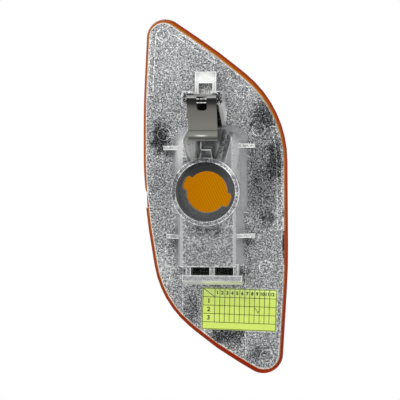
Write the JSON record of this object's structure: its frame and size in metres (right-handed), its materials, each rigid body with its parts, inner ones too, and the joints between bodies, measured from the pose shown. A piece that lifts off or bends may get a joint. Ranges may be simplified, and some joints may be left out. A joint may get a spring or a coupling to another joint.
{
  "type": "side repeater lamp",
  "caption": "Leaf-shaped amber side repeater lamp for a car body panel, with a metallised back, keyed bulb-holder socket, spring clip and hook.",
  "frame": {"origin": "where the bulb axis meets the back face of the base plate, the face that seats against the body panel", "axes": "+Y out of the back of the lamp along the bulb axis, so the lens faces -Y; +Z along the lamp towards the spring-clip end; X across it"},
  "size_m": [0.054, 0.0302, 0.1318],
  "materials": {
    "amber_lens": "clear amber, moulded and polished",
    "metallised_plastic": "vapour metallised over a spark-eroded grain",
    "spring_steel": "rolled, tempered strip",
    "label_film": "printed lime film"
  },
  "bodies": {
    "root": {"lens": "amber_lens", "housing": "metallised_plastic", "spring_clip": "spring_steel", "date_label": "label_film"}
  },
  "joints": []
}
